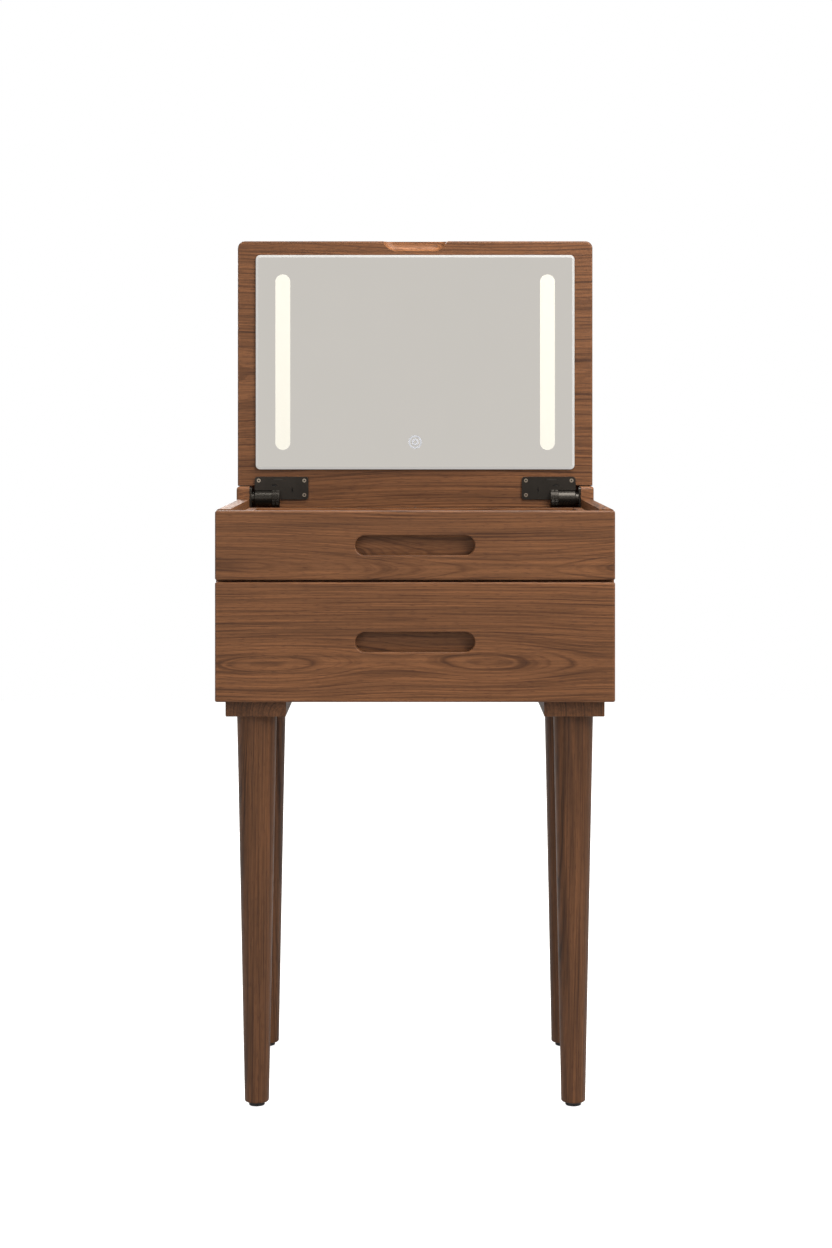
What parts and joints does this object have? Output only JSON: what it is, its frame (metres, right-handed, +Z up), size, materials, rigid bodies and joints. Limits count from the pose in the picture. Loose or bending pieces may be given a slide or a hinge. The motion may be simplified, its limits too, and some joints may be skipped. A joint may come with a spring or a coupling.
{
  "type": "vanity table",
  "caption": "Flip-top vanity table: hinged lid with a lit, bevelled mirror on its underside, drawers with slot grips, and round tapered legs.",
  "frame": {"origin": "on the floor, under the middle of the box's width and depth", "axes": "+Z up, -Y out of the drawer fronts, +X to the right seen from the front; the lid stands open at rest"},
  "size_m": [0.5, 0.4, 1.12],
  "materials": {
    "walnut_grain_x": "satin oiled walnut, grain across",
    "walnut_grain_y": "satin oiled walnut, grain front to back",
    "walnut_leg": "satin oiled walnut, grain along the leg",
    "walnut_drawer": "satin walnut drawer board",
    "dowel_wood": "plain beech",
    "rail_steel": "zinc-plated",
    "screw_steel": "plated",
    "insert_brass": "turned",
    "glide_black": "matt",
    "grommet_black": "matt",
    "hinge_black": "dark gunmetal",
    "hinge_steel": "ground",
    "mirror_silver": "silvered, bevelled",
    "window_light": "frosted, lit from behind",
    "touch_light": "frosted, faintly lit",
    "led_board": "white board with lit chips",
    "tray_aluminium": "folded",
    "wire_black": "matt"
  },
  "bodies": {
    "carcass": {"back_panel": "walnut_grain_x", "left_side_panel": "walnut_grain_y", "right_side_panel": "walnut_grain_y", "left_bearer": "walnut_grain_y", "right_bearer": "walnut_grain_y", "bottom_panel": "walnut_grain_y", "divider_panel": "walnut_grain_y", "front_left_leg": "walnut_leg", "front_right_leg": "walnut_leg", "rear_left_leg": "walnut_leg", "rear_right_leg": "walnut_leg", "carcass_dowels": "dowel_wood", "upper_left_cabinet_rail": "rail_steel", "upper_right_cabinet_rail": "rail_steel", "lower_left_cabinet_rail": "rail_steel", "lower_right_cabinet_rail": "rail_steel", "rail_screws": "screw_steel", "bearer_screws": "screw_steel", "hinge_base_screws": "screw_steel", "leg_hanger_bolts": "screw_steel", "leg_inserts": "insert_brass", "foot_glides": "glide_black", "cable_grommet": "grommet_black", "left_hinge_base": "hinge_black", "right_hinge_base": "hinge_black", "hinge_friction_discs": "hinge_steel"},
    "lid": {"lid_panel": "walnut_grain_x", "mirror_glass": "mirror_silver", "mirror_light_box": "tray_aluminium", "left_light_window": "window_light", "right_light_window": "window_light", "left_led_bar": "led_board", "right_led_bar": "led_board", "touch_icon": "touch_light", "touch_module": "grommet_black", "mirror_wiring": "wire_black", "power_inlet": "grommet_black", "left_hinge_leaf": "hinge_black", "right_hinge_leaf": "hinge_black", "hinge_shafts": "hinge_steel", "hinge_leaf_screws": "screw_steel"},
    "upper_drawer": {"upper_drawer_front": "walnut_grain_x", "upper_drawer_inner_front": "walnut_drawer", "upper_drawer_left_side": "walnut_drawer", "upper_drawer_right_side": "walnut_drawer", "upper_drawer_back": "walnut_drawer", "upper_drawer_bottom": "walnut_drawer", "upper_drawer_screws": "screw_steel", "upper_drawer_rails": "rail_steel"},
    "upper_runner_middles": {"upper_middle_rails": "rail_steel"},
    "lower_drawer": {"lower_drawer_front": "walnut_grain_x", "lower_drawer_inner_front": "walnut_drawer", "lower_drawer_left_side": "walnut_drawer", "lower_drawer_right_side": "walnut_drawer", "lower_drawer_back": "walnut_drawer", "lower_drawer_bottom": "walnut_drawer", "lower_drawer_screws": "screw_steel", "lower_drawer_rails": "rail_steel"},
    "lower_runner_middles": {"lower_middle_rails": "rail_steel"}
  },
  "joints": [
    {"name": "lid_hinge", "type": "hinge", "parent": "carcass", "child": "lid", "pos_m": [0, 0.161, 0.759], "axis": [1, 0, 0], "range_deg": [0, 90]},
    {"name": "upper_drawer_slide", "type": "slide", "parent": "carcass", "child": "upper_drawer", "axis": [0, -1, 0], "range_m": [0, 0.25]},
    {"name": "lower_drawer_slide", "type": "slide", "parent": "carcass", "child": "lower_drawer", "axis": [0, -1, 0], "range_m": [0, 0.25]},
    {"name": "upper_runner_slide", "type": "slide", "parent": "carcass", "child": "upper_runner_middles", "axis": [0, -1, 0], "range_m": [0, 0.125]},
    {"name": "lower_runner_slide", "type": "slide", "parent": "carcass", "child": "lower_runner_middles", "axis": [0, -1, 0], "range_m": [0, 0.125]}
  ],
  "couplings": [
    {"joint": "upper_runner_slide", "follows": "upper_drawer_slide", "ratio": 0.5},
    {"joint": "lower_runner_slide", "follows": "lower_drawer_slide", "ratio": 0.5}
  ]
}
